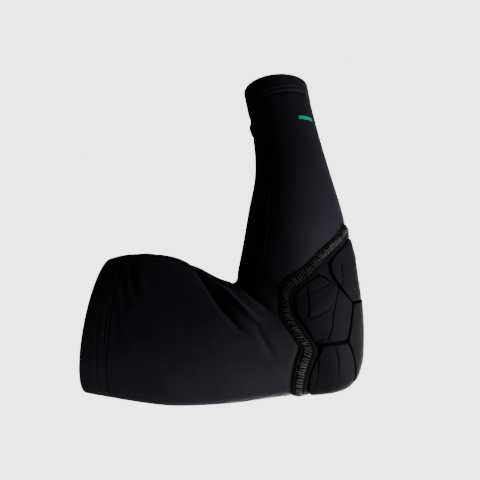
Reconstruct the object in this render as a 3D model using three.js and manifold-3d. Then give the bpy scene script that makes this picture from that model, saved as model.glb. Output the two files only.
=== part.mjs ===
import * as THREE from "three";
import { ParametricGeometry } from "three/addons/geometries/ParametricGeometry.js";
import { mergeVertices } from "three/addons/utils/BufferGeometryUtils.js";
import Module from "manifold-3d";

// A padded sleeve, formed to a bent arm, in millimetres. The arm's plane is XZ and mirrors the sleeve:
// the forearm rises along +Z, the upper arm runs towards -X, and the origin is the middle of the bend.

// Fabric and foam thicknesses, and the gap kept between pieces
const KNIT_WALL = 1.5;
const HEM_WALL = 2.4;
const HEM_RISE = 0.3;
const PIECE_GAP = 0.6;
const BLOCK_UNDERSIDE = 0.9;
const UPPER_BLOCK_HEIGHT = 4.2;
const CENTRE_BLOCK_HEIGHT = 4.8;
const LOWER_BLOCK_HEIGHT = 4.2;
const SIDE_BLOCK_HEIGHT = 4.6;
const BLOCK_EDGE_SHARE = 0.6;
const BLOCK_SHOULDER_SHARE = 0.88;
const BLOCK_SHOULDER_SPREAD = 0.88;
const BLOCK_CROWN_SPREAD = 0.6;

// Flat seams: half widths, and the heights of their edges and middles above the knit
const PAD_SEAM_HALF_WIDTH = 4.7;
const FRONT_SEAM_HALF_WIDTH = 2.2;
const PAD_SEAM_EDGE = 1.3;
const PAD_SEAM_CROWN = 1.9;
const FRONT_SEAM_UNDERSIDE = 1;
const FRONT_SEAM_EDGE = 1.4;
const FRONT_SEAM_CROWN = 1.7;

// Cross-sections from the upper-arm mouth to the wrist mouth. Each runs from the crook side of the arm
// to its back, and its place in the list is its station.
const SECTIONS = [
  // crookX, crookZ, backX, backZ, halfWidth
  [-160, 80.5, -182, -29, 47.5],
  [-148, 83.3, -165.5, -32.5, 49],
  [-130, 84.3, -144, -37, 50],
  [-108, 80.5, -114, -41.5, 50],
  [-88.5, 71.2, -87, -42, 49],
  [-73, 62, -58, -40.5, 47.5],
  [-64, 58, -30, -37.2, 46],
  [-60, 58, -5, -34.7, 45],
  [-58, 59.5, 14, -31.5, 44.5],
  [-57.2, 61, 30.5, -26, 44],
  [-56.8, 62.5, 38, -12, 44],
  [-56.5, 64, 40.2, 8, 44],
  [-56.2, 67.5, 40, 36, 44],
  [-54.5, 76, 37, 67, 43.5],
  [-51.6, 92, 34.4, 95, 42.5],
  [-47.2, 119, 29, 122, 39.5],
  [-42.2, 147, 21.2, 152, 36],
  [-42, 172, 13.4, 183, 32.5],
  [-45.6, 200, 7, 212, 30.5],
  [-51, 229, 3, 234.5, 30.5],
].map(([crookX, crookZ, backX, backZ, halfWidth]) => ({ crookX, crookZ, backX, backZ, halfWidth }));
const LAST_STATION = SECTIONS.length - 1;
const ELBOW_STATION = 11;

// Stations where the hems end and the tube between them starts and stops
const UPPER_HEM_END = 1.3;
const TUBE_START = 1.34;
const TUBE_END = 18.27;
const WRIST_HEM_START = 18.3;

// Folds that run round the arm, mirrored on its far side. Angles are in degrees from the arm's back line,
// and a ridge has a negative depth.
const FOLDS = [
  // fromStation, fromAngle, toStation, toAngle, depth, halfWidth
  [3.6, 178, 5.9, 78, 2.4, 4],
  [5.6, 150, 6.8, 80, -1.6, 4],
  [7, 180, 8.1, 92, 2, 3.5],
  [1.6, 172, 2.1, 90, 1.2, 3],
  [2.2, 175, 2.6, 95, -1, 3],
  [17.9, 190, 17.5, 95, 1, 3],
].map(([fromStation, fromAngle, toStation, toAngle, depth, halfWidth]) => (
  { fromStation, fromAngle, toStation, toAngle, depth, halfWidth }));

// The lengthwise seam's route, from the upper hem through the crook to the wrist hem
const FRONT_SEAM = [
  // station, angle in degrees
  [1.4, 152],
  [3.5, 150],
  [6, 138],
  [8, 128],
  [11.3, 127],
  [12.7, 122],
  [14.6, 121],
  [16.6, 123],
  [18.2, 118],
];

// Outlines on the pad: distance along the arm's back line from the elbow (towards the wrist), and distance
// round the arm from that line. Outlines on the middle are half outlines.
const PAD_EDGE = [
  [91.5, 0],
  [89.6, 9.7],
  [82.3, 18.6],
  [60.3, 41.2],
  [44.2, 53.2],
  [29, 63.8],
  [12, 75.4],
  [-2, 83.3],
  [-14, 87],
  [-26, 87],
  [-35, 82.5],
  [-40.5, 73],
  [-44.3, 58],
  [-46.6, 48.5],
  [-54.7, 40.3],
  [-63.5, 31],
  [-71.5, 16.5],
  [-75, 0],
];
const UPPER_BLOCK = [
  [84, 0],
  [82, 10],
  [69, 24.3],
  [61.4, 32],
  [55.4, 37],
  [49.5, 40.3],
  [45.5, 41.2],
  [40, 40.8],
  [33.8, 38.6],
  [27.5, 33],
  [20.9, 24.2],
  [34.5, 0],
];
const CENTRE_BLOCK = [
  [33.3, 0],
  [19.3, 22.7],
  [-15.2, 28.7],
  [-34.4, 0],
];
const LOWER_BLOCK = [
  [-35.6, 0],
  [-17.2, 28],
  [-19.5, 30.9],
  [-27.9, 40.4],
  [-32.6, 44.2],
  [-37, 46.3],
  [-38.8, 44],
  [-44.8, 40.2],
  [-52, 34.2],
  [-58.3, 28.2],
  [-62.9, 21.2],
  [-66.6, 10.5],
  [-67.8, 0],
];
const SIDE_BLOCK = [
  [28.5, 56.2],
  [13.9, 66.8],
  [4, 72.9],
  [-4.6, 77.4],
  [-18, 79],
  [-28.2, 77],
  [-32.2, 68],
  [-36.8, 56.4],
  [-37.6, 53],
  [-32.7, 48],
  [-26.8, 43],
  [-17.3, 32.2],
  [-15.4, 30.3],
  [18.6, 24.2],
  [20.3, 26.2],
  [24.4, 34.8],
  [29.2, 44.4],
  [31, 49.5],
  [31.2, 53],
];
const UPPER_BLOCK_MIDDLE = [58, 0];
const CENTRE_BLOCK_MIDDLE = [0, 0];
const LOWER_BLOCK_MIDDLE = [-50, 0];
const SIDE_BLOCK_MIDDLE = [-4, 53];
const BLOCK_CORNER = 3;
const LARGEST_CORNER_SHARE = 0.4;

// Facets
const ROUND_FACETS = 36;
const TUBE_ROWS = 37;
const HEM_ROWS = 3;
const PAD_FACETS = 48;
const PAD_RINGS = 7;
const PAD_SEAM_FACETS = 80;
const BLOCK_FACETS = 30;
const BLOCK_RINGS = 5;
const FRONT_SEAM_ROWS = 52;
const BACK_DIVISIONS_PER_STATION = 100;
const JOIN_TOLERANCE = 1e-4;
const CUTTER_REACH = 6;
const SLOPE_STEP = 1e-3;

const wasm = await Module();
wasm.setup();

// The smooth lines through the sections
function sectionLine(pointOf) {
  return new THREE.CatmullRomCurve3(SECTIONS.map(pointOf), false, "catmullrom");
}
const crookLine = sectionLine((row) => new THREE.Vector3(row.crookX, 0, row.crookZ));
const backLine = sectionLine((row) => new THREE.Vector3(row.backX, 0, row.backZ));
const widthLine = sectionLine((row) => new THREE.Vector3(0, row.halfWidth, 0));
backLine.arcLengthDivisions = BACK_DIVISIONS_PER_STATION * LAST_STATION;
const elbowLength = backLine.getLengths()[BACK_DIVISIONS_PER_STATION * ELBOW_STATION];

// A point of the smooth outer surface; the angle starts at the back line and grows towards -Y
function smoothSkin(station, angle) {
  const along = station / LAST_STATION;
  const towardsBack = (1 + Math.cos(angle)) / 2;
  const point = crookLine.getPoint(along).lerp(backLine.getPoint(along), towardsBack);
  point.y = -widthLine.getPoint(along).y * Math.sin(angle);
  return point;
}

// How the smooth surface runs along and round the arm, and which way is out
function skinDirections(station, angle) {
  const before = Math.max(station - SLOPE_STEP, 0);
  const after = Math.min(station + SLOPE_STEP, LAST_STATION);
  const along = smoothSkin(after, angle).sub(smoothSkin(before, angle)).divideScalar(after - before);
  const round = smoothSkin(station, angle + SLOPE_STEP).sub(smoothSkin(station, angle - SLOPE_STEP));
  const outward = along.clone().cross(round).normalize();
  return { along, outward };
}

// Depth of all folds at a place, each fading out at its two ends
function foldDepth(station, angle, stretch) {
  const degrees = THREE.MathUtils.radToDeg(Math.abs(Math.atan2(Math.sin(angle), Math.cos(angle))));
  let depth = 0;
  for (const fold of FOLDS) {
    const part = (degrees - fold.fromAngle) / (fold.toAngle - fold.fromAngle);
    if (part > 0 && part < 1) {
      const centre = THREE.MathUtils.lerp(fold.fromStation, fold.toStation, part);
      const distance = (station - centre) * stretch / fold.halfWidth;
      depth += fold.depth * Math.sin(Math.PI * part) * Math.exp(-distance * distance);
    }
  }
  return depth;
}

// A point at a height above the folded outer surface
function skin(station, angle, height) {
  const { along, outward } = skinDirections(station, angle);
  const lift = height - foldDepth(station, angle, along.length());
  return smoothSkin(station, angle).addScaledVector(outward, lift);
}

// The station and angle of a place on the pad
function padPlace(alongBack, round) {
  const along = backLine.getUtoTmapping(0, elbowLength + alongBack);
  const halfDepth = crookLine.getPoint(along).distanceTo(backLine.getPoint(along)) / 2;
  const halfSection = new THREE.EllipseCurve(0, 0, halfDepth, widthLine.getPoint(along).y, 0, Math.PI);
  const angle = Math.PI * halfSection.getUtoTmapping(0, Math.abs(round));
  return { station: along * LAST_STATION, angle: Math.sign(round) * angle };
}

function padPoint(place, height) {
  const { station, angle } = padPlace(place.x, place.y);
  return skin(station, angle, height);
}

// Real length of one step along the back line, at a place beside it
function padStretch(place) {
  const step = new THREE.Vector2(1, 0);
  return padPoint(place.clone().add(step), 0).distanceTo(padPoint(place, 0));
}

// A closed surface from its points: u runs round it and v from its first row to its last
function closedSurface(pointAt, columns, rows) {
  const surface = new ParametricGeometry(
    (u, v, target) => target.copy(pointAt(u % 1, Math.round(v * rows))), columns, rows);
  surface.deleteAttribute("normal");
  surface.deleteAttribute("uv");
  const joined = mergeVertices(surface, JOIN_TOLERANCE);
  const kept = [];
  for (let i = 0; i < joined.index.count; i += 3) {
    const corners = [0, 1, 2].map((k) => joined.index.getX(i + k));
    if (new Set(corners).size === 3) {
      kept.push(...corners);
    }
  }
  joined.setIndex(kept);
  return joined;
}

// A tube of fabric between two stations: its outer wall, then its inner wall back to the start
function fabricTube(fromStation, toStation, rows, outerHeight, innerHeight) {
  const path = [];
  for (let i = 0; i <= rows; i += 1) {
    path.push({ station: THREE.MathUtils.lerp(fromStation, toStation, i / rows), height: outerHeight });
  }
  for (let i = rows; i >= 0; i -= 1) {
    path.push({ station: THREE.MathUtils.lerp(fromStation, toStation, i / rows), height: innerHeight });
  }
  const pointAt = (u, row) => {
    const { station, height } = path[row % path.length];
    return skin(station, -2 * Math.PI * u, height);
  };
  return closedSurface(pointAt, ROUND_FACETS, path.length);
}

// A piece of the pad: rings of its outline, drawn in towards its middle, at the heights of a profile
function padPiece(outlineAt, middle, profile, facets) {
  const pointAt = (u, row) => {
    const { spread, height } = profile[row];
    return padPoint(new THREE.Vector2(...middle).lerp(outlineAt(u), spread), height);
  };
  return closedSurface(pointAt, facets, profile.length - 1);
}

// A half outline joined to its mirror image
function wholeOutline(half) {
  const mirrored = half.slice(1, -1).reverse().map(([alongBack, round]) => [alongBack, -round]);
  return [...half, ...mirrored];
}

const padEdge = new THREE.CatmullRomCurve3(
  wholeOutline(PAD_EDGE).map(([alongBack, round]) => new THREE.Vector3(alongBack, round, 0)), true);

// The place at a real distance outside the pad's edge
function besidePadEdge(u, distance) {
  const edge = padEdge.getPointAt(u);
  const run = padEdge.getTangentAt(u);
  const place = new THREE.Vector2(edge.x, edge.y);
  const stretch = padStretch(place);
  const outward = new THREE.Vector2(run.y / stretch, -run.x * stretch);
  const length = Math.hypot(run.x * stretch, run.y);
  return place.addScaledVector(outward, distance / length);
}

// A flat panel the shape of the pad, from a lower to an upper height
function padPanel(edgeDistance, lowerHeight, upperHeight) {
  const profile = [];
  for (let i = 0; i <= PAD_RINGS; i += 1) {
    profile.push({ spread: i / PAD_RINGS, height: lowerHeight });
  }
  for (let i = PAD_RINGS; i >= 0; i -= 1) {
    profile.push({ spread: i / PAD_RINGS, height: upperHeight });
  }
  return padPiece((u) => besidePadEdge(u, edgeDistance), [0, 0], profile, PAD_FACETS);
}

// The outline of a block, its corners rounded
function roundedOutline(corners) {
  const path = new THREE.Path();
  const points = corners.map(([alongBack, round]) => new THREE.Vector2(alongBack, round));
  points.forEach((corner, i) => {
    const before = points[(i + points.length - 1) % points.length];
    const after = points[(i + 1) % points.length];
    const cutTowards = (other) => {
      const cut = Math.min(BLOCK_CORNER / corner.distanceTo(other), LARGEST_CORNER_SHARE);
      return corner.clone().lerp(other, cut);
    };
    const start = cutTowards(before);
    const end = cutTowards(after);
    if (i === 0) {
      path.moveTo(start.x, start.y);
    } else {
      path.lineTo(start.x, start.y);
    }
    path.quadraticCurveTo(corner.x, corner.y, end.x, end.y);
  });
  path.closePath();
  return path;
}

// A foam block: flat underneath, with upright edges, bevelled shoulders and a low crown
function padBlock(corners, middle, crown) {
  const outline = roundedOutline(corners);
  const profile = [];
  for (let i = 0; i <= BLOCK_RINGS; i += 1) {
    profile.push({ spread: i / BLOCK_RINGS, height: BLOCK_UNDERSIDE });
  }
  profile.push(
    { spread: 1, height: BLOCK_EDGE_SHARE * crown },
    { spread: BLOCK_SHOULDER_SPREAD, height: BLOCK_SHOULDER_SHARE * crown },
    { spread: BLOCK_CROWN_SPREAD, height: crown },
    { spread: BLOCK_CROWN_SPREAD / 2, height: crown },
    { spread: 0, height: crown });
  return padPiece((u) => outline.getPointAt(u), middle, profile, BLOCK_FACETS);
}

// The section of a flat seam, from its outer edge over its top: place across it and height
function seamSection(halfWidth, underside, edge, crown) {
  return [
    [halfWidth, underside],
    [halfWidth, edge],
    [0, crown],
    [-halfWidth, edge],
    [-halfWidth, underside],
  ];
}

// The tape round the pad
function padSeam() {
  const section = seamSection(PAD_SEAM_HALF_WIDTH, PIECE_GAP, PAD_SEAM_EDGE, PAD_SEAM_CROWN);
  const pointAt = (u, row) => {
    const [across, height] = section[row % section.length];
    return padPoint(besidePadEdge(u, across), height);
  };
  return closedSurface(pointAt, PAD_SEAM_FACETS, section.length);
}

// The lengthwise seam, closed at both ends
function frontSeam() {
  const route = new THREE.CatmullRomCurve3(
    FRONT_SEAM.map(([station, degrees]) => new THREE.Vector3(station, THREE.MathUtils.degToRad(degrees), 0)));
  const section = seamSection(
    FRONT_SEAM_HALF_WIDTH, FRONT_SEAM_UNDERSIDE, FRONT_SEAM_EDGE, FRONT_SEAM_CROWN);
  const middleHeight = (FRONT_SEAM_UNDERSIDE + FRONT_SEAM_CROWN) / 2;
  const pointAt = (u, row) => {
    const isCap = row === 0 || row === FRONT_SEAM_ROWS;
    const part = THREE.MathUtils.clamp((row - 1) / (FRONT_SEAM_ROWS - 2), 0, 1);
    const { x: station, y: angle } = route.getPoint(part);
    const corner = section[Math.round(u * section.length) % section.length];
    const [across, height] = isCap ? [0, middleHeight] : corner;
    const { crookX, crookZ, backX, backZ } = SECTIONS[Math.round(station)];
    const radius = Math.hypot(backX - crookX, backZ - crookZ) / 2;
    return skin(station, angle + across / radius, height);
  };
  return closedSurface(pointAt, section.length, FRONT_SEAM_ROWS);
}

function toSolid(geometry) {
  return new wasm.Manifold(new wasm.Mesh({
    numProp: 3,
    vertProperties: geometry.attributes.position.array,
    triVerts: new Uint32Array(geometry.index.array),
  }));
}

function toGeometry(solid) {
  const mesh = solid.getMesh();
  const geometry = new THREE.BufferGeometry();
  geometry.setAttribute("position", new THREE.BufferAttribute(mesh.vertProperties, 3));
  geometry.setIndex(new THREE.BufferAttribute(mesh.triVerts, 1));
  return geometry;
}

// The knitted tube with the pad's cut-out
function sleeveShell() {
  const tube = fabricTube(TUBE_START, TUBE_END, TUBE_ROWS, 0, -KNIT_WALL);
  const cutter = padPanel(PIECE_GAP / 2, -CUTTER_REACH, CUTTER_REACH);
  return toGeometry(toSolid(tube).subtract(toSolid(cutter)));
}

function hem(fromStation, toStation) {
  return fabricTube(fromStation, toStation, HEM_ROWS, HEM_RISE, HEM_RISE - HEM_WALL);
}

const knit = { color: 0x121117, roughness: 0.7, metalness: 0 };
const tape = { color: 0x1a1a20, roughness: 0.8, metalness: 0 };
const foam = { color: 0x26262c, roughness: 0.75, metalness: 0 };

const group = new THREE.Group();

function addPiece(name, geometry, look) {
  geometry.computeVertexNormals();
  const mesh = new THREE.Mesh(geometry, new THREE.MeshStandardMaterial(look));
  mesh.name = name;
  group.add(mesh);
}

addPiece("sleeve_shell", sleeveShell(), knit);
addPiece("upper_hem", hem(0, UPPER_HEM_END), knit);
addPiece("wrist_hem", hem(WRIST_HEM_START, LAST_STATION), knit);
addPiece("front_seam", frontSeam(), tape);
addPiece("pad_base", padPanel(-PIECE_GAP / 2, -KNIT_WALL, 0), foam);
addPiece("pad_seam", padSeam(), tape);
const upperBlock = padBlock(wholeOutline(UPPER_BLOCK), UPPER_BLOCK_MIDDLE, UPPER_BLOCK_HEIGHT);
addPiece("pad_block_upper", upperBlock, foam);
const centreBlock = padBlock(wholeOutline(CENTRE_BLOCK), CENTRE_BLOCK_MIDDLE, CENTRE_BLOCK_HEIGHT);
addPiece("pad_block_centre", centreBlock, foam);
const lowerBlock = padBlock(wholeOutline(LOWER_BLOCK), LOWER_BLOCK_MIDDLE, LOWER_BLOCK_HEIGHT);
addPiece("pad_block_lower", lowerBlock, foam);
addPiece("pad_block_side_near", padBlock(SIDE_BLOCK, SIDE_BLOCK_MIDDLE, SIDE_BLOCK_HEIGHT), foam);
const farSideBlock = SIDE_BLOCK.map(([alongBack, round]) => [alongBack, -round]).reverse();
const farSideMiddle = [SIDE_BLOCK_MIDDLE[0], -SIDE_BLOCK_MIDDLE[1]];
addPiece("pad_block_side_far", padBlock(farSideBlock, farSideMiddle, SIDE_BLOCK_HEIGHT), foam);

export default group;
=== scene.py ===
import functools
import math

import bmesh
import bpy
import numpy as np
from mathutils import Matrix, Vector


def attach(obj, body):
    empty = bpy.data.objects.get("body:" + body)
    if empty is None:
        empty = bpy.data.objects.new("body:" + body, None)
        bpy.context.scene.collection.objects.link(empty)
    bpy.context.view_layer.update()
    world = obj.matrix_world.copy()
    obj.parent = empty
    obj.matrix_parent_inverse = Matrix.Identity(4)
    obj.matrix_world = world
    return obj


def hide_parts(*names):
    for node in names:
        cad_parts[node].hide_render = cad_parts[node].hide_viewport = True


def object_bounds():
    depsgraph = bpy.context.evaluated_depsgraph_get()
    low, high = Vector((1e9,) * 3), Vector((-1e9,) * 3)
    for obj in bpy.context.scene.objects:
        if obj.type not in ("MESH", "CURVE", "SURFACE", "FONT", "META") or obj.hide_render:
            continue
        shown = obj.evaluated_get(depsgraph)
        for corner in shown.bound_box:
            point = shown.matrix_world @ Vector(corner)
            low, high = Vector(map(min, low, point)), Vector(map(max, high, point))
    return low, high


bl_info = {
    "name": "Padded Arm Sleeve",
    "version": (1, 0, 0),
    "blender": (4, 5, 0),
    "location": "View3D > Sidebar > Sleeve",
    "description": "Builds a knitted arm sleeve with a moulded elbow pad, its seams and its stitching",
    "category": "Object",
}

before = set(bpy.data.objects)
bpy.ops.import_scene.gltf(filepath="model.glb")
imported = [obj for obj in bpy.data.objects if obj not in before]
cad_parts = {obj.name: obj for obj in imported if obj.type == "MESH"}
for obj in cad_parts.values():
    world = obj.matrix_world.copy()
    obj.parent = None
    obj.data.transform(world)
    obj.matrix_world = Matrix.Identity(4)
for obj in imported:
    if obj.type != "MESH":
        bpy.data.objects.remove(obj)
SOLID_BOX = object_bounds()
MM = 0.001

# Cross-sections from the upper-arm mouth to the wrist mouth. Each runs from the crook side of the arm to
# its back, and its place in the table is its station. Tables of shapes are in millimetres and degrees.
SECTIONS = MM * np.array([
    # crook x, crook z, back x, back z, half width
    (-160, 80.5, -182, -29, 47.5),
    (-148, 83.3, -165.5, -32.5, 49),
    (-130, 84.3, -144, -37, 50),
    (-108, 80.5, -114, -41.5, 50),
    (-88.5, 71.2, -87, -42, 49),
    (-73, 62, -58, -40.5, 47.5),
    (-64, 58, -30, -37.2, 46),
    (-60, 58, -5, -34.7, 45),
    (-58, 59.5, 14, -31.5, 44.5),
    (-57.2, 61, 30.5, -26, 44),
    (-56.8, 62.5, 38, -12, 44),
    (-56.5, 64, 40.2, 8, 44),
    (-56.2, 67.5, 40, 36, 44),
    (-54.5, 76, 37, 67, 43.5),
    (-51.6, 92, 34.4, 95, 42.5),
    (-47.2, 119, 29, 122, 39.5),
    (-42.2, 147, 21.2, 152, 36),
    (-42, 172, 13.4, 183, 32.5),
    (-45.6, 200, 7, 212, 30.5),
    (-51, 229, 3, 234.5, 30.5),
])
LAST_STATION = len(SECTIONS) - 1
ELBOW_STATION = 11
UPPER_HEM_END = 1.3
WRIST_HEM_START = 18.3

# Folds round the arm, mirrored on its far side. A ridge has a negative depth, and a fold that starts past
# 180 degrees crosses the crook line.
FOLDS = [
    # from station, from angle, to station, to angle, depth, half width
    (3.5, 178, 5.9, 78, 4.8, 3.2),
    (5, 142, 7, 84, -3.2, 3),
    (7, 180, 8.1, 92, 3.6, 3.4),
    (3.3, 168, 5.95, 76, 1.9, 1.8),
    (4.9, 136, 5.8, 90, 1.4, 1.6),
    (7.2, 172, 8.15, 94, 1.6, 1.6),
    (6.5, 92, 6.6, 52, 0.8, 2.2),
    (1.6, 172, 2.1, 90, 0.8, 3),
    (1.5, 146, 2.2, 94, 1.7, 1.8),
    (1.55, 130, 2.25, 88, -1.1, 1.5),
    (1.8, 136, 2.5, 98, -1.2, 1.7),
    (1.5, 116, 1.95, 86, 1.2, 1.6),
    (2.4, 178, 2.3, 128, 0.7, 1.8),
    (1.45, 96, 1.8, 60, 0.6, 1.8),
    (18.2, 215, 17.95, 105, 1.2, 1.8),
    (17.94, 215, 17.6, 100, -1.9, 3.2),
    (17.67, 210, 17.42, 115, 1.3, 1.8),
    (10.2, 128, 10.35, 100, 0.6, 1.2),
]

# The lengthwise seam, from the upper hem through the crook to the wrist hem
FRONT_SEAM = np.array([
    # station, angle
    (1.4, 152),
    (3.5, 150),
    (6, 138),
    (8, 128),
    (11.3, 127),
    (12.7, 122),
    (14.6, 121),
    (16.6, 123),
    (18.2, 118),
])

# The pad's chart: distance along the arm's back line from the elbow, towards the wrist, and distance round
# the arm from that line. Outlines on the middle are half outlines.
PAD_EDGE = [
    (91.5, 0), (89.6, 9.7), (82.3, 18.6), (60.3, 41.2), (44.2, 53.2), (29, 63.8), (12, 75.4), (-2, 83.3),
    (-14, 87), (-26, 87), (-35, 82.5), (-40.5, 73), (-44.3, 58), (-46.6, 48.5), (-54.7, 40.3), (-63.5, 31),
    (-71.5, 16.5), (-75, 0),
]
UPPER_BLOCK = [
    (84, 0), (82, 10), (69, 24.3), (61.4, 32), (55.4, 37), (49.5, 40.3), (45.5, 41.2), (40, 40.8),
    (33.8, 38.6), (27.5, 33), (20.9, 24.2), (34.5, 0),
]
CENTRE_BLOCK = [
    (33.3, 0), (19.3, 22.7), (-15.2, 28.7), (-34.4, 0),
]
LOWER_BLOCK = [
    (-35, 0), (-16.8, 28.2), (-19.5, 30.9), (-27.9, 40.4), (-32.6, 44.2), (-37, 46.3), (-38.8, 44),
    (-44.8, 40.2), (-52, 34.2), (-58.3, 28.2), (-62.9, 21.2), (-66.6, 10.5), (-67.8, 0),
]
SIDE_BLOCK = [
    (28.5, 56.2), (13.9, 66.8), (4, 72.9), (-4.6, 77.4), (-18, 79), (-28.2, 77), (-32.2, 68), (-36.8, 56.4),
    (-37.6, 53), (-32.7, 48), (-26.8, 43), (-17.3, 32.2), (-15.4, 30.3), (18.6, 24.2), (20.3, 26.2),
    (24.4, 34.8), (29.2, 44.4), (31, 49.5), (31.2, 53),
]
SIDE_WEB = [
    (50.7, 42.9), (46.5, 45.8), (41.6, 49.5), (36.2, 53.1), (34.4, 54.2), (33, 49.2), (31.3, 44.8),
    (29.1, 40.6), (28, 37.8), (30.2, 38.2), (33.7, 41), (40.3, 43.2), (46, 43.6),
]
UPPER_MIDDLE = (58, 0)
CENTRE_MIDDLE = (0, 0)
LOWER_MIDDLE = (-50, 0)
SIDE_MIDDLE = (-4, 53)
WEB_MIDDLE = (37, 47)

# Moulded score lines: one end, the other end, and the share of the full depth
UPPER_SCORES = [(52, 30, 31.5, 34, 1), (53.5, 26.5, 64, 0, 0.35), (38, 24.8, 50, 0, 0.35)]
CENTRE_SCORES = [(-2, 13, 10, 6, 0.5), (10, 6, 24, 0, 0.4)]
LOWER_SCORES = [
    (-27.8, 39.8, -31.8, 33.8, 0.8), (-31.8, 33.8, -36.7, 27.2, 0.7), (-36.7, 27.2, -42.1, 18, 0.5),
    (-46, 39.5, -54.1, 26.2, 0.9), (-55, 24.3, -61.9, 14.4, 0.4),
]
SIDE_SCORES = [
    (12.8, 65.6, -22.8, 67.8, 1), (-9, 77.5, 27, 45.7, 0.7), (-28.2, 69.3, 1.2, 47.2, 0.8),
    (24.8, 39.1, -4, 45.5, 1), (-4, 45.5, -28.6, 46.7, 1), (-37, 53, -30.6, 50.1, 1),
]

# Seam sections, from one edge over the top to the other: place across and height
PAD_TAPE_SECTION = MM * np.array([
    (-5.1, 0.7), (-4.9, 1), (-4.3, 1.2), (-3.4, 1.3), (-2.5, 1.2), (-1.8, 0.7), (-1.3, 1), (-0.4, 1.4),
    (1, 1.5), (2.4, 1.4), (3.2, 1), (3.75, 0.45), (4.2, 0.8), (4.6, 0.7), (5, 0.2),
])
FRONT_SEAM_SECTION = MM * np.array([
    (-2.7, 0.15), (-2.5, 0.5), (-2, 0.65), (-1.2, 0.45), (0, 0.55), (1.2, 0.45), (2, 0.65), (2.5, 0.5),
    (2.7, 0.15),
])

# How much the pad's tape widens on the knit's side, and the places along the arm between which it does
TAPE_GROWTH = 0.35
TAPE_GROWTH_FROM = 40 * MM
TAPE_GROWTH_TO = 12 * MM

# The camera: its direction from the origin in degrees, its distance and its offsets from there in metres,
# and its lens and sensor in millimetres
VIEW_AZIMUTH = 6
VIEW_ELEVATION = -20
VIEW_DISTANCE = 1.1
VIEW_RIGHT = -0.0544
VIEW_UP = 0.088
VIEW_LENS = 103.1
VIEW_SENSOR = 36

# The fabrics' textures, how far into the foam's slots the painted shade reaches, and the height of the
# threads' painted highlight
KNIT_COLUMN = 0.85 * MM
KNIT_LOOP = 0.7 * MM
KNIT_RIB = 2.4 * MM
TAPE_RIB = 0.8 * MM
TAPE_CROSS_RIB = 1.1 * MM
THREAD_TWIST = 0.35 * MM
PAINTED_SHADE_REACH = 5 * MM
PAINTED_HIGHLIGHT_HEIGHT = 72 * MM
PAINTED_HIGHLIGHT_REACH = 16 * MM

# Turns, steps and shares that shapes are worked out with
FULL_TURN = 2 * math.pi
HALF_TURN = np.linspace(0, math.pi, 121)
BACK_STATIONS = np.linspace(0, LAST_STATION, 100 * LAST_STATION + 1)
SLOPE_STEP = 1e-3
SAME_POINT = 0.001 * MM
LARGEST_CORNER_SHARE = 0.4
THREAD_SIDES = 6
THREAD_END_SHARE = 0.45
STITCH_POINTS = 5


def through_rows(rows, station):
    """A smooth line through a table's rows, read at fractional row numbers."""
    ends = np.vstack([2 * rows[0] - rows[1], rows, 2 * rows[-1] - rows[-2]])
    row = np.clip(np.floor(station).astype(int), 0, len(rows) - 2)
    part = (station - row)[..., None]
    before, here, after, beyond = (ends[row + step] for step in range(4))
    bend = 2 * before - 5 * here + 4 * after - beyond
    twist = 3 * (here - after) + beyond - before
    return here + part / 2 * (after - before + part * (bend + part * twist))


def smooth_skin(station, angle):
    """Points of the sleeve's outer face without folds; the angle starts at the back line, towards -Y."""
    crook_x, crook_z, back_x, back_z, half_width = np.moveaxis(through_rows(SECTIONS, station), -1, 0)
    to_back = (1 + np.cos(angle)) / 2
    x = crook_x + (back_x - crook_x) * to_back
    z = crook_z + (back_z - crook_z) * to_back
    return np.stack([x, -half_width * np.sin(angle), z], axis=-1)


def skin_directions(station, angle):
    """Lengths of one station and of one radian on the outer face, and the directions out of it."""
    along = smooth_skin(station + SLOPE_STEP, angle) - smooth_skin(station - SLOPE_STEP, angle)
    around = smooth_skin(station, angle + SLOPE_STEP) - smooth_skin(station, angle - SLOPE_STEP)
    outward = np.cross(along, around)
    outward /= np.linalg.norm(outward, axis=-1, keepdims=True)
    station_length = np.linalg.norm(along, axis=-1) / (2 * SLOPE_STEP)
    radian_length = np.linalg.norm(around, axis=-1) / (2 * SLOPE_STEP)
    return station_length, radian_length, outward


def fold_depth(station, angle, station_length):
    """Depth of all folds, each fading out at its two ends."""
    degrees = np.abs(np.degrees(np.arctan2(np.sin(angle), np.cos(angle))))
    depth = np.zeros_like(degrees)
    for from_station, from_angle, to_station, to_angle, deepest, half_width in FOLDS:
        part = np.clip((degrees - from_angle) / (to_angle - from_angle), 0, 1)
        middle = from_station + (to_station - from_station) * part
        distance = (station - middle) * station_length / (MM * half_width)
        depth += MM * deepest * np.sin(math.pi * part) * np.exp(-distance ** 2)
    return depth


def skin(station, angle, height):
    """Points at a height above the folded outer face, and the directions out of it."""
    station, angle, height = np.broadcast_arrays(station, angle, height)
    station_length, _, outward = skin_directions(station, angle)
    lift = height - fold_depth(station, angle, station_length)
    return smooth_skin(station, angle) + lift[..., None] * outward, outward


def run_lengths(points):
    """Length along a line of points, from its start."""
    steps = np.linalg.norm(np.diff(points, axis=0), axis=1)
    return np.concatenate([[0], np.cumsum(steps)])


BACK_LENGTHS = run_lengths(smooth_skin(BACK_STATIONS, np.zeros_like(BACK_STATIONS)))
BACK_LENGTHS -= np.interp(ELBOW_STATION, BACK_STATIONS, BACK_LENGTHS)


def round_lengths(station):
    """Lengths round the sleeve from the back line to each angle of a half turn."""
    crook_x, crook_z, back_x, back_z, half_width = np.moveaxis(through_rows(SECTIONS, station), -1, 0)
    half_depth = np.hypot(back_x - crook_x, back_z - crook_z) / 2
    middle = (HALF_TURN[1:] + HALF_TURN[:-1]) / 2
    steps = np.hypot(half_depth[..., None] * np.sin(middle), half_width[..., None] * np.cos(middle))
    lengths = np.cumsum(steps * HALF_TURN[1], axis=-1)
    return np.concatenate([np.zeros_like(lengths[..., :1]), lengths], axis=-1)


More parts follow.
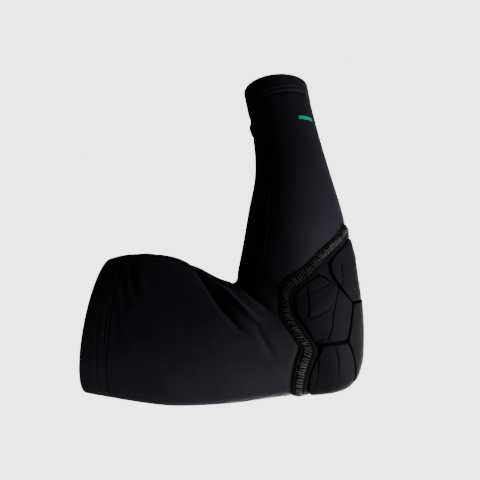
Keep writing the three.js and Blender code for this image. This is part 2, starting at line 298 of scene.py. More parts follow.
def pad_place(places):
    """Stations and angles of places on the pad's chart."""
    station = np.interp(places[..., 0], BACK_LENGTHS, BACK_STATIONS)
    lengths = round_lengths(station)
    reach = np.abs(places[..., 1])[..., None]
    step = np.clip((lengths <= reach).sum(-1, keepdims=True) - 1, 0, len(HALF_TURN) - 2)
    start = np.take_along_axis(lengths, step, -1)
    end = np.take_along_axis(lengths, step + 1, -1)
    angle = (HALF_TURN[step] + (reach - start) / (end - start) * HALF_TURN[1])[..., 0]
    return station, np.sign(places[..., 1]) * angle


def chart_place(station, angle):
    """Places on the pad's chart of a grid of points: a row for each station, a column for each angle."""
    turned = np.arctan2(np.sin(angle), np.cos(angle))
    around = [np.interp(np.abs(turned), HALF_TURN, lengths) for lengths in round_lengths(station)]
    along = np.interp(station, BACK_STATIONS, BACK_LENGTHS)
    along, around = np.broadcast_arrays(along[:, None], np.sign(turned) * np.array(around))
    return np.stack([along, around], axis=-1)


def pad_skin(places, height):
    """Points at a height above places of the pad's chart, and the directions out of it."""
    station, angle = pad_place(places)
    return skin(station, angle, height)


def pad_stretch(places):
    """Real length of a short step along the back line, as a share of that step."""
    step = np.array([MM, 0])
    return np.linalg.norm(pad_skin(places + step, 0)[0] - pad_skin(places, 0)[0], axis=-1) / MM


def whole_outline(half):
    """A half outline joined to its mirror image, in metres."""
    mirrored = [(along, -around) for along, around in reversed(half[1:-1])]
    return MM * np.array([*half, *mirrored])


def side_scores(scores, side):
    """Score lines on the near side of the back line, 1, or mirrored on its far side, -1."""
    return [
        (start_along, side * start_around, end_along, side * end_around, share)
        for start_along, start_around, end_along, end_around, share in scores]


def even_loop(loop, count):
    """A closed line of points, laid out again at even steps."""
    closed = np.vstack([loop, loop[:1]])
    lengths = run_lengths(closed)
    wanted = np.linspace(0, lengths[-1], count, endpoint=False)
    return np.stack([np.interp(wanted, lengths, column) for column in closed.T], axis=1)


def smooth_loop(corners, count, steps=24):
    """A closed smooth curve through its corners."""
    before, here, after, beyond = (np.roll(corners, shift, axis=0) for shift in (1, 0, -1, -2))
    first, span, last = (
        np.sqrt(np.linalg.norm(end - start, axis=1, keepdims=True))
        for start, end in ((before, here), (here, after), (after, beyond)))
    leave = span * ((here - before) / first - (after - before) / (first + span) + (after - here) / span)
    arrive = span * ((after - here) / span - (beyond - here) / (span + last) + (beyond - after) / last)
    part = np.linspace(0, 1, steps, endpoint=False)[:, None]
    curve = [
        (2 * part ** 3 - 3 * part ** 2 + 1) * a + (part ** 3 - 2 * part ** 2 + part) * go
        + (3 * part ** 2 - 2 * part ** 3) * b + (part ** 3 - part ** 2) * come
        for a, b, go, come in zip(here, after, leave, arrive)]
    return even_loop(np.vstack(curve), count)


def rounded_loop(corners, radius, count, steps=9):
    """A closed outline with its corners rounded, running from the chart's first axis to its second."""
    before, after = np.roll(corners, 1, axis=0), np.roll(corners, -1, axis=0)
    part = np.linspace(0, 1, steps)[:, None]
    bends = []
    for previous, corner, following in zip(before, corners, after):
        start, end = (
            corner + (other - corner) * min(radius / np.linalg.norm(other - corner), LARGEST_CORNER_SHARE)
            for other in (previous, following))
        bends.append((1 - part) ** 2 * start + 2 * part * (1 - part) * corner + part ** 2 * end)
    loop = even_loop(np.vstack(bends), count)
    turn = np.cross(loop, np.roll(loop, -1, axis=0)).sum()
    return loop if turn > 0 else loop[::-1]


def distance_to_line(points, line):
    """Distance of flat points from a line of straight runs."""
    nearest = np.full(len(points), np.inf)
    for start, end in zip(line[:-1], line[1:]):
        run = end - start
        part = np.clip((points - start) @ run / (run @ run), 0, 1)[:, None]
        nearest = np.minimum(nearest, np.linalg.norm(points - start - part * run, axis=1))
    return nearest


def inside_loop(points, loop):
    """Which flat points lie inside a closed outline."""
    x, y = points[..., 0], points[..., 1]
    inside = np.zeros(x.shape, bool)
    for (ax, ay), (bx, by) in zip(loop, np.roll(loop, -1, axis=0)):
        if ay != by:
            inside ^= ((ay > y) != (by > y)) & (x < ax + (bx - ax) * (y - ay) / (by - ay))
    return inside


class PadEdge:
    """The pad's edge, read by the real length along it."""

    POINTS = 900
    # One point in three is enough for measuring distances
    DISTANCE_STEP = 3

    def __init__(self):
        self.loop = smooth_loop(whole_outline(PAD_EDGE), self.POINTS)
        run = np.roll(self.loop, -1, axis=0) - np.roll(self.loop, 1, axis=0)
        stretch = pad_stretch(self.loop)
        across = np.hypot(run[:, 0] * stretch, run[:, 1])
        self.outward = np.stack([run[:, 1] / stretch, -run[:, 0] * stretch], axis=1) / across[:, None]
        points = pad_skin(self.loop, 0)[0]
        lengths = run_lengths(np.vstack([points, points[:1]]))
        self.lengths, self.length = lengths[:-1], lengths[-1]

    def steps(self, count):
        """Even lengths along the whole edge."""
        return np.linspace(0, self.length, count, endpoint=False)

    def beside(self, along, across):
        """Chart places at a length along the edge and a real distance outside it."""
        along, across = np.broadcast_arrays(along, across)
        columns = np.hstack([self.loop, self.outward]).T
        x, y, out_x, out_y = (
            np.interp(along, self.lengths, column, period=self.length) for column in columns)
        return np.stack([x + out_x * across, y + out_y * across], axis=-1)

    def distance(self, places):
        """Distance of chart places from the edge."""
        closed = np.vstack([self.loop, self.loop[:1]])
        return distance_to_line(places, closed[::self.DISTANCE_STEP])


PAD = PadEdge()


def tape_width_share(along):
    """How much wider the tape is on the knit's side, at places along the arm."""
    part = np.clip((TAPE_GROWTH_FROM - along) / (TAPE_GROWTH_FROM - TAPE_GROWTH_TO), 0, 1)
    return 1 + TAPE_GROWTH * part * part * (3 - 2 * part)


def grid_faces(rows, columns, wrap_rows=False):
    """Faces over a grid that closes round its columns, and each corner's row and column before it wraps."""
    row, column = np.meshgrid(
        np.arange(rows if wrap_rows else rows - 1), np.arange(columns), indexing="ij")
    corner_row = np.stack([row, row + 1, row + 1, row], axis=-1).reshape(-1, 4)
    corner_column = np.stack([column, column, column + 1, column + 1], axis=-1).reshape(-1, 4)
    faces = (corner_row % rows) * columns + corner_column % columns
    return faces, corner_row, corner_column


def make_piece(name, points, faces, finish, cloth):
    """A smooth mesh piece on the sleeve's body; cloth holds a place on the fabric for each face corner."""
    mesh = bpy.data.meshes.new(name)
    mesh.from_pydata(np.reshape(points, (-1, 3)).tolist(), [], [list(face) for face in faces])
    layer = mesh.uv_layers.new(name="cloth")
    layer.data.foreach_set("uv", np.asarray(cloth, np.float32).ravel())
    joined = bmesh.new()
    joined.from_mesh(mesh)
    bmesh.ops.remove_doubles(joined, verts=joined.verts, dist=SAME_POINT)
    joined.to_mesh(mesh)
    joined.free()
    mesh.shade_smooth()
    mesh.materials.append(finish)
    piece = bpy.data.objects.new(name, mesh)
    bpy.context.scene.collection.objects.link(piece)
    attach(piece, "root")
    return piece


def grid_piece(name, points, finish, wrap_rows=False):
    """A piece over a grid of points, its cloth places taken from the lengths along the grid."""
    rows, columns = points.shape[:2]
    faces, corner_row, corner_column = grid_faces(rows, columns, wrap_rows)
    looped = np.concatenate([points, points[:1]], axis=0)
    looped = np.concatenate([looped, looped[:, :1]], axis=1)
    along = np.concatenate([[0], np.linalg.norm(np.diff(looped, axis=0), axis=2).mean(1).cumsum()])
    around = np.concatenate([[0], np.linalg.norm(np.diff(looped, axis=1), axis=2).mean(0).cumsum()])
    cloth = np.stack([around[corner_column], along[corner_row]], axis=-1)
    return make_piece(name, points, faces, finish, cloth)


def thread_piece(name, strands, width, finish):
    """Short round threads; each strand holds many paths of as many points, and the directions out there."""
    paths, outward = (np.vstack(part) for part in zip(*strands))
    run = np.gradient(paths, axis=1)
    run /= np.linalg.norm(run, axis=-1, keepdims=True)
    beside = np.cross(run, outward)
    beside /= np.linalg.norm(beside, axis=-1, keepdims=True)
    above = np.cross(beside, run)
    turn = np.linspace(0, FULL_TURN, THREAD_SIDES, endpoint=False)[:, None]
    radius = np.full(paths.shape[1], width / 2)
    radius[[0, -1]] *= THREAD_END_SHARE
    rings = paths[:, :, None] + radius[:, None, None] * (
        np.cos(turn) * beside[:, :, None] + np.sin(turn) * above[:, :, None])
    count, steps = paths.shape[:2]
    tube, corner_row, corner_column = grid_faces(steps, THREAD_SIDES)
    starts = np.arange(count)[:, None, None] * steps * THREAD_SIDES
    tubes = (tube + starts).reshape(-1, 4)
    ring = np.arange(THREAD_SIDES)
    caps = (np.array([ring, (steps - 1) * THREAD_SIDES + ring[::-1]]) + starts).reshape(-1, THREAD_SIDES)
    step = np.linalg.norm(np.diff(paths, axis=1), axis=-1).mean()
    strand = np.stack([corner_column * width * math.pi / THREAD_SIDES, corner_row * step], axis=-1)
    cloth = np.vstack([np.tile(strand.reshape(-1, 2), (count, 1)), np.zeros((caps.size, 2))])
    return make_piece(name, rings, [*tubes.tolist(), *caps.tolist()], finish, cloth)


def stitch_arch(part, width, top, sunk, power=1):
    """Height of a thread along its stitch: sunk at the ends and risen between, in shares of its width."""
    return width * (top * np.sin(math.pi * part) ** power - sunk)


class Wire:
    """A shader value; arithmetic on it adds Math nodes."""

    def __init__(self, nodes, socket):
        self.nodes = nodes
        self.socket = socket

    def math(self, operation, *values):
        return self.nodes.node("ShaderNodeMath", {"operation": operation}, dict(enumerate(values)))

    def __add__(self, other):
        return self.math("ADD", self, other)

    def __sub__(self, other):
        return self.math("SUBTRACT", self, other)

    def __rsub__(self, other):
        return self.math("SUBTRACT", other, self)

    def __mul__(self, other):
        return self.math("MULTIPLY", self, other)

    __radd__ = __add__
    __rmul__ = __mul__

    def __abs__(self):
        return self.math("ABSOLUTE", self)

    def sine(self):
        return self.math("SINE", self)

    def fraction(self):
        return self.math("FRACT", self)

    def at_least(self, least):
        return self.math("MAXIMUM", self, least)


class Nodes:
    """The nodes of one material or of the world."""

    def __init__(self, tree):
        self.tree = tree

    def plug(self, socket, value):
        """Links a shader value to a socket, or sets a plain one on it."""
        if isinstance(value, Wire):
            self.tree.links.new(value.socket, socket)
        else:
            socket.default_value = value

    def node(self, kind, settings=None, sockets=None, output=0):
        """Any node: its settings are set first, then the values or links of its sockets."""
        node = self.tree.nodes.new(kind)
        for name, value in (settings or {}).items():
            setattr(node, name, value)
        for name, value in (sockets or {}).items():
            self.plug(node.inputs[name], value)
        return Wire(self, node.outputs[output])


class Finish(Nodes):
    """A material and the nodes that make its surface."""

    SHEEN_ROUGHNESS = 0.45
    # Sockets of a Mix node for colours
    MIX_SHARE = 0
    MIX_FIRST = 6
    MIX_SECOND = 7
    MIX_RESULT = 2

    def __init__(self, name, colour, roughness=0.5, specular=0.5, sheen=0.0, sheen_colour=(1, 1, 1)):
        self.material = bpy.data.materials.new(name)
        self.material.use_nodes = True
        self.material.diffuse_color = (*colour, 1)
        super().__init__(self.material.node_tree)
        self.colour = colour
        self.surface = self.tree.nodes["Principled BSDF"]
        self.set("Roughness", roughness)
        self.set("Specular IOR Level", specular)
        self.set("Sheen Weight", sheen)
        self.set("Sheen Roughness", self.SHEEN_ROUGHNESS)
        self.set("Sheen Tint", (*sheen_colour, 1))

    def set(self, socket, value):
        self.plug(self.surface.inputs[socket], value)

    def place(self):
        return self.node("ShaderNodeTexCoord", output="Object")

    def split(self, vector):
        """The three parts of a vector."""
        first = self.node("ShaderNodeSeparateXYZ", sockets={"Vector": vector})
        return [Wire(self, socket) for socket in first.socket.node.outputs]

    def cloth(self):
        """Places round and along the fabric, in metres."""
        around, along, _ = self.split(self.node("ShaderNodeUVMap", {"uv_map": "cloth"}))
        return around, along

    def noise(self, scale, detail, roughness=0.5):
        sockets = {"Vector": self.place(), "Scale": scale, "Detail": detail, "Roughness": roughness}
        return self.node("ShaderNodeTexNoise", sockets=sockets)

    def tone(self, share, darkest, lightest):
        """The base colour, between two shades of the finish's own colour."""
        first, second = ((*(level * value for value in self.colour), 1) for level in (darkest, lightest))
        sockets = {self.MIX_SHARE: share, self.MIX_FIRST: first, self.MIX_SECOND: second}
        mixed = self.node("ShaderNodeMix", {"data_type": "RGBA"}, sockets, self.MIX_RESULT)
        self.set("Base Color", mixed)

    def bump(self, height, distance, strength):
        sockets = {"Height": height, "Distance": distance, "Strength": strength}
        self.set("Normal", self.node("ShaderNodeBump", sockets=sockets))


def made_once(make):
    """Lets a finish be made only where there is no material of its name yet."""
    @functools.wraps(make)
    def finish(name, colour):
        return bpy.data.materials.get(name) or make(name, colour)
    return finish


@made_once
def knit_finish(name, colour):
    """Fine warp knit: columns of small loops, faint ribs round the arm, and a cloudy tone."""
    finish = Finish(name, colour, specular=0.16, sheen=0.03, sheen_colour=(0.72, 0.7, 0.9))
    around, along = finish.cloth()
    column = abs((around * (1 / KNIT_COLUMN)).fraction() - 0.5) * 2
    loop = ((along * (1 / KNIT_LOOP) + column * 0.6) * FULL_TURN).sine()
    rib = (along * (FULL_TURN / KNIT_RIB)).sine()
    cloud = finish.noise(scale=38, detail=3)
    patch = finish.noise(scale=9, detail=2)
    lint = finish.noise(scale=2600, detail=2)
    finish.tone(cloud * 0.7 + patch * 0.6 + loop * 0.06 - 0.15, darkest=0.6, lightest=1.5)
    finish.set("Roughness", 0.5 + cloud * 0.16)
    finish.bump(loop * 0.35 + column * 0.45 + rib * 0.1 + lint * 0.5, distance=0.12 * MM, strength=0.8)
    return finish.material


@made_once
def foam_finish(name, colour):
    """Moulded foam under a bonded knit face, with painted shade darkening its slots and score lines."""
    finish = Finish(name, colour, specular=0.03, sheen=0.01, sheen_colour=(0.7, 0.68, 1))
    grain = finish.noise(scale=1500, detail=3, roughness=0.6)
    cloud = finish.noise(scale=45, detail=3)
    # Ambient occlusion scales the base colour: painted shade where the foam is closed in, in its slots and
    # score lines
    openness_for_painted_shade = finish.node(
        "ShaderNodeAmbientOcclusion", {"samples": 8}, {"Distance": PAINTED_SHADE_REACH}, output="AO")
    tone = (0.35 + grain * 0.4 + cloud * 0.6) * openness_for_painted_shade * openness_for_painted_shade
    finish.tone(tone, darkest=0.05, lightest=1.2)
    finish.set("Roughness", 0.65 + grain * 0.18)
    finish.bump(grain, distance=0.14 * MM, strength=0.7)
    return finish.material


@made_once
def tape_finish(name, colour):
    """Flat seam tape with a fine rib each way."""
    finish = Finish(name, colour, roughness=0.75, specular=0.06, sheen=0.012)
    around, along = finish.cloth()
    rib = (along * (FULL_TURN / TAPE_RIB)).sine() + (around * (FULL_TURN / TAPE_CROSS_RIB)).sine()
    grain = finish.noise(scale=900, detail=3)
    finish.tone(grain * 0.9 + rib * 0.1, darkest=0.6, lightest=1.5)
    finish.bump(rib * 0.5 + grain, distance=0.12 * MM, strength=0.8)
    return finish.material


@made_once
def thread_finish(name, colour):
    """Twisted sewing thread, worn in patches, with a painted highlight that makes it paler at one height.
    """
    finish = Finish(name, colour, roughness=0.55, specular=0.4, sheen=0.2)
    around, along = finish.cloth()
    twist = ((around + along) * (FULL_TURN / THREAD_TWIST)).sine()
    wear = finish.noise(scale=260, detail=3)
    patch = finish.noise(scale=48, detail=2)
    _, _, height = finish.split(finish.place())
    # Painted highlight: the thread is paler near one height, where the pad seam's upper stretch runs
    painted_highlight = (1 - abs(height - PAINTED_HIGHLIGHT_HEIGHT) * (1 / PAINTED_HIGHLIGHT_REACH)).at_least(0)
    tone = wear * 1.2 + patch * 4 + twist * 0.15 + painted_highlight * 1.4 - 2.25
    finish.tone(tone, darkest=0.15, lightest=1.7)
    finish.bump(twist, distance=0.05 * MM, strength=0.6)
    return finish.material


def print_finish(colour):
    """A matt rubber print with a faint grain."""
    finish = Finish("wrist_print", colour, roughness=0.6, specular=0.4)
    grain = finish.noise(scale=1800, detail=3)
    finish.tone(grain * 1.2 - 0.1, darkest=0.75, lightest=1.15)
    finish.bump(grain, distance=0.05 * MM, strength=0.5)
    return finish.material


def floor_finish(colour, glow):
    """A pale matt floor, as light as the backdrop."""
    finish = Finish("studio_floor", colour, roughness=0.85, specular=0.2)
    finish.set("Emission Color", (1, 1, 1, 1))
    finish.set("Emission Strength", glow)
    finish.tone(finish.noise(scale=3, detail=2), darkest=0.98, lightest=1.02)
    return finish.material


def length(name, description, default):
    return bpy.props.FloatProperty(
        name=name, description=description, default=default, min=0, precision=5, subtype="DISTANCE",
        unit="LENGTH")


def colour(name, description, default):
    return bpy.props.FloatVectorProperty(
        name=name, description=description, default=default, size=3, min=0, max=1, subtype="COLOR")


class SleeveSizes(bpy.types.PropertyGroup):
    """Sizes of the sleeve's pieces."""

    knit_wall: length("Knit", "Thickness of the knitted tube", 1.5 * MM)
    hem_wall: length("Hem", "Thickness of a turned hem", 2.4 * MM)
    hem_rise: length("Hem rise", "How far a hem stands above the tube", 0.3 * MM)
    panel_rise: length("Pad panel", "Height of the pad's panel above the knit", 0.45 * MM)
    upper_height: length("Upper block", "Height of the block below the forearm", 4.3 * MM)
    centre_height: length("Centre block", "Height of the block on the elbow's tip", 4.9 * MM)
    lower_height: length("Lower block", "Height of the block behind the upper arm", 4.3 * MM)
    side_height: length("Side blocks", "Height of the blocks beside the elbow", 4.7 * MM)
    web_height: length("Webs", "Height of the flat webs between the blocks", 3 * MM)
    block_corner: length("Block corners", "Radius of a block's outline at its corners", 3 * MM)
    block_shoulder: length("Block edges", "Width of a block's rounded edge", 1.5 * MM)
    score_depth: length("Score depth", "Depth of the moulded score lines", 0.75 * MM)
    score_width: length("Score width", "Width of the moulded score lines", 1.4 * MM)
    thread_width: length("Thread", "Diameter of the seam thread", 0.36 * MM)
    hem_thread_width: length("Hem thread", "Diameter of the hem thread", 0.3 * MM)
    stitch_length: length("Stitch", "Distance from one stitch to the next", 2.3 * MM)
    print_length: length("Print length", "Length of the printed stripe at the wrist", 17 * MM)
    print_width: length("Print width", "Width of the printed stripe at the wrist", 3.4 * MM)


class SleeveColours(bpy.types.PropertyGroup):
    """Colours of the sleeve's finishes."""

    knit: colour("Knit", "Colour of the knitted tube", (0.0097, 0.0088, 0.0148))
    foam: colour("Foam", "Colour of the pad's blocks", (0.0067, 0.0062, 0.0085))
    panel: colour("Panel", "Colour of the pad's panel in the slots", (0.0012, 0.0011, 0.0017))
    tape: colour("Tape", "Colour of the pad's tape", (0.0036, 0.0033, 0.005))
    bed: colour("Seam bed", "Colour of the sewn bed under the pad seam's ladder", (0.0012, 0.0011, 0.0016))
    strip: colour("Front strip", "Colour of the strip along the front of the arm", (0.006, 0.0055, 0.0085))
    light_thread: colour("Light thread", "Colour of the pad seam's thread", (0.041, 0.04, 0.045))
    seam_thread: colour(
        "Seam thread", "Colour of the front seam's and wrist hem's thread", (0.017, 0.0165, 0.019))
    dark_thread: colour(
        "Dark thread", "Colour of the upper hem's and the edges' thread", (0.005, 0.0048, 0.0065))
    print_mark: colour("Print", "Colour of the printed stripe", (0.0, 0.42, 0.3))
    floor: colour("Floor", "Colour of the floor", (0.8, 0.8, 0.8))


class ARM_SLEEVE_OT_stage(bpy.types.Operator):
    """Add the floor, the lights, the backdrop and the camera"""

    bl_idname = "arm_sleeve.stage"
    bl_label = "Stage"

    FLOOR_DROP = 1.3
    FLOOR_REACH = 9
    FLOOR_SIDES = 96
    BACKDROP = 3.85
    AMBIENT = 0.025
    LIGHTS = [
        # name, place, size, power
        ("key_light", (0.42, 0.08, -0.25), 0.35, 3.5),
        ("low_light", (0.25, -0.05, -0.3), 0.2, 0.4),
        ("front_light", (0.25, -0.15, -0.02), 0.15, 1.0),
        ("near_light", (0.15, -0.12, 0.11), 0.08, 0.1),
        ("fill_light", (0.25, -0.65, -1), 0.6, 1.0),
        ("far_light", (0.3, 1.4, 0.1), 0.9, 42),
        ("bounce_light", (-0.1, -0.1, -1.2), 2.4, 6),
    ]

    def execute(self, context):
        self.add_floor(context)
        for name, place, size, power in self.LIGHTS:
            self.add_light(context, name, Vector(place), size, power)
        self.add_backdrop(context)
        self.add_camera(context)
        return {"FINISHED"}

    def add_floor(self, context):
        """A disc that shows, but doesn't light the sleeve."""
        mesh = bpy.data.meshes.new("studio_floor")
        disc = bmesh.new()
        bmesh.ops.create_circle(disc, cap_ends=True, segments=self.FLOOR_SIDES, radius=self.FLOOR_REACH)
        disc.to_mesh(mesh)
        disc.free()
        mesh.materials.append(floor_finish(context.scene.arm_sleeve_colours.floor, self.BACKDROP))
        floor = bpy.data.objects.new("studio_floor", mesh)
        floor.location.z = SOLID_BOX[0].z - self.FLOOR_DROP
        floor.visible_diffuse = False
        floor.visible_glossy = False
        context.scene.collection.objects.link(floor)

    def add_light(self, context, name, place, size, power):
        """A round light that points at the elbow."""
        lamp = bpy.data.lights.new(name, "AREA")
        lamp.shape = "DISK"
        lamp.size = size
        lamp.energy = power
        light = bpy.data.objects.new(name, lamp)
        light.location = place
        light.rotation_euler = (-place).to_track_quat("-Z", "Y").to_euler()
        light.visible_camera = False
        context.scene.collection.objects.link(light)

    def add_backdrop(self, context):
        """A pale backdrop that gives the sleeve only a little light."""
        world = bpy.data.worlds.new("studio_backdrop")
        world.use_nodes = True
        nodes = Nodes(world.node_tree)
        background = world.node_tree.nodes["Background"]
        seen = nodes.node("ShaderNodeLightPath", output="Is Camera Ray")
        nodes.plug(background.inputs["Color"], (1, 1, 1, 1))
        nodes.plug(background.inputs["Strength"], self.AMBIENT + seen * (self.BACKDROP - self.AMBIENT))
        context.scene.world = world

    def add_camera(self, context):
        azimuth, elevation = math.radians(VIEW_AZIMUTH), math.radians(VIEW_ELEVATION)
        right = Vector((math.cos(azimuth), math.sin(azimuth), 0))
        level_back = Vector((math.sin(azimuth), -math.cos(azimuth), 0))
        back = level_back * math.cos(elevation) + Vector((0, 0, math.sin(elevation)))
        up = back.cross(right)
        lens = bpy.data.cameras.new("photo_camera")
        lens.lens = VIEW_LENS
        lens.sensor_width = VIEW_SENSOR
        camera = bpy.data.objects.new("photo_camera", lens)
        camera.location = right * VIEW_RIGHT + up * VIEW_UP + back * VIEW_DISTANCE
        camera.rotation_euler = (-back).to_track_quat("-Z", "Y").to_euler()
        context.scene.collection.objects.link(camera)
        context.scene.camera = camera


class ARM_SLEEVE_OT_knit_tube(bpy.types.Operator):
    """Build the knitted tube with the cut-out for the pad"""

    bl_idname = "arm_sleeve.knit_tube"
    bl_label = "Knit Tube"

    ROWS = 190
    COLUMNS = 190
    CUT_GAP = 0.3 * MM
    MEAN_RADIUS = 42 * MM
    # The dip beside the pad's tape, worked out only for places within reach of the pad
    PAD_REACH = 110 * MM
    TAPE_DIP = 0.9 * MM
    TAPE_DIP_PLACE = 6 * MM
    TAPE_DIP_WIDTH = 1 * MM

    def execute(self, context):
        station = np.linspace(UPPER_HEM_END, WRIST_HEM_START, self.ROWS)
        angle = np.linspace(0, FULL_TURN, self.COLUMNS, endpoint=False)
        places = chart_place(station, angle).reshape(-1, 2)
        points, _ = skin(station[:, None], angle, -self.dip(places).reshape(self.ROWS, self.COLUMNS))
        points = points.reshape(-1, 3)
        cut = PAD.beside(PAD.lengths, self.CUT_GAP)
        inside = inside_loop(places, cut)
        faces, corner_row, corner_column = grid_faces(self.ROWS, self.COLUMNS)
        kept = ~inside[faces].all(axis=1)
        faces = faces[kept]
        rim = np.unique(faces[inside[faces]])
        nearest = np.linalg.norm(places[rim, None] - cut[None], axis=2).argmin(axis=1)
        points[rim] = pad_skin(cut[nearest], 0)[0]
        back = np.zeros_like(station)
        middle = (smooth_skin(station, back) + smooth_skin(station, back + math.pi)) / 2
        along = run_lengths(middle)[corner_row[kept]]
        around = corner_column[kept] * (FULL_TURN / self.COLUMNS * self.MEAN_RADIUS)
        used, faces = np.unique(faces, return_inverse=True)
        finish = knit_finish("sleeve_knit", context.scene.arm_sleeve_colours.knit)
        cloth = np.stack([around, along], axis=-1)
        tube = make_piece("knit_tube", points[used], faces.reshape(-1, 4), finish, cloth)
        wall = tube.modifiers.new("wall", "SOLIDIFY")
        wall.thickness = context.scene.arm_sleeve_sizes.knit_wall
        wall.offset = -1
        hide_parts("sleeve_shell")
        return {"FINISHED"}

    def dip(self, places):
        """How far the knit is drawn in beside the pad's tape, at places of the pad's chart."""
        distance = np.full(len(places), np.inf)
        close = np.abs(places).max(axis=1) < self.PAD_REACH
        distance[close] = PAD.distance(places[close])
        middle = self.TAPE_DIP_PLACE * tape_width_share(places[:, 0])
        return self.TAPE_DIP * np.exp(-((distance - middle) / self.TAPE_DIP_WIDTH) ** 2)


class ARM_SLEEVE_OT_hems(bpy.types.Operator):
    """Build the turned hems of both mouths and their stitch lines"""

    bl_idname = "arm_sleeve.hems"
    bl_label = "Hems"

    COLUMNS = 220
    FACE_ROWS = 60
    RIM_ROWS = 7
    STITCH_DIP = 0.3 * MM
    STITCH_DIP_WIDTH = 0.75 * MM
    STITCH_SHARE = 0.8
    # Stations of the stitch lines, and how far the lines waver
    UPPER_LINES = (0.85, 1.2)
    WRIST_LINES = (18.34, 18.5)
    WAVER = 0.55 * MM
    LINE_POINTS = 721

    def execute(self, context):
        colours = context.scene.arm_sleeve_colours
        dark = thread_finish("dark_thread", colours.dark_thread)
        pale = thread_finish("seam_thread", colours.seam_thread)
        self.hem(context, "upper_hem", 0, UPPER_HEM_END, self.UPPER_LINES, dark)
        self.hem(context, "wrist_hem", LAST_STATION, WRIST_HEM_START, self.WRIST_LINES, pale)
        return {"FINISHED"}

    def line_station(self, station, angle):
        """A stitch line's station, wavering in three waves round the arm and in seven smaller ones."""
        station_length = skin_directions(np.full_like(angle, station), angle)[0]
        waver = np.sin(3 * angle + station) + 0.6 * np.sin(7 * angle + 2)
        return station + self.WAVER * waver / station_length

    def hem(self, context, name, rim, end, lines, thread):
        """A band that runs round the mouth's rim, along the outer face and back along the inner one."""
        sizes = context.scene.arm_sleeve_sizes
        inward = np.sign(end - rim)
        angle = np.linspace(0, FULL_TURN, self.COLUMNS, endpoint=False)
        station_length = skin_directions(np.full_like(angle, float(rim)), angle)[0].mean()
        radius = sizes.hem_wall / 2
        lip = rim + inward * radius / station_length
        face = np.linspace(lip, end, self.FACE_ROWS)
        turn = np.linspace(-math.pi / 2, math.pi / 2, self.RIM_ROWS + 2)[1:-1]
        rim_station = lip - inward * radius / station_length * np.cos(turn)
        rim_height = sizes.hem_rise - radius + radius * np.sin(turn)
        top = np.full(self.FACE_ROWS, sizes.hem_rise)
        station = np.concatenate([rim_station, face, face[::-1]])
        height = np.concatenate([rim_height, top, top - sizes.hem_wall])
        height = np.repeat(height[:, None], self.COLUMNS, axis=1)
        outer = slice(self.RIM_ROWS, self.RIM_ROWS + self.FACE_ROWS)
        for line in lines:
            offset = (face[:, None] - self.line_station(line, angle)) * station_length
            height[outer] -= self.STITCH_DIP * np.exp(-(offset / self.STITCH_DIP_WIDTH) ** 2)
        points, _ = skin(station[:, None], angle, height)
        points = points if inward > 0 else points[::-1]
        finish = knit_finish("sleeve_knit", context.scene.arm_sleeve_colours.knit)
        hem = grid_piece(name + "_band", points, finish, wrap_rows=True)
        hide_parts(name)
        strands = [self.stitches(line, sizes) for line in lines]
        thread_piece(name + "_stitches", strands, sizes.hem_thread_width, thread)

    def stitches(self, line, sizes):
        """Stitches of one line, laid in its dip."""
        angle = np.linspace(0, FULL_TURN, self.LINE_POINTS)
        part = np.linspace(0, 1, STITCH_POINTS)
        around = run_lengths(skin(self.line_station(line, angle), angle, 0)[0])
        count = round(around[-1] / sizes.stitch_length)
        step = around[-1] / count
        at = np.interp(step * (np.arange(count)[:, None] + self.STITCH_SHARE * part), around, angle)
        arch = stitch_arch(part, sizes.hem_thread_width, top=0.9, sunk=0.3)
        return skin(self.line_station(line, at), at, sizes.hem_rise - self.STITCH_DIP + arch)


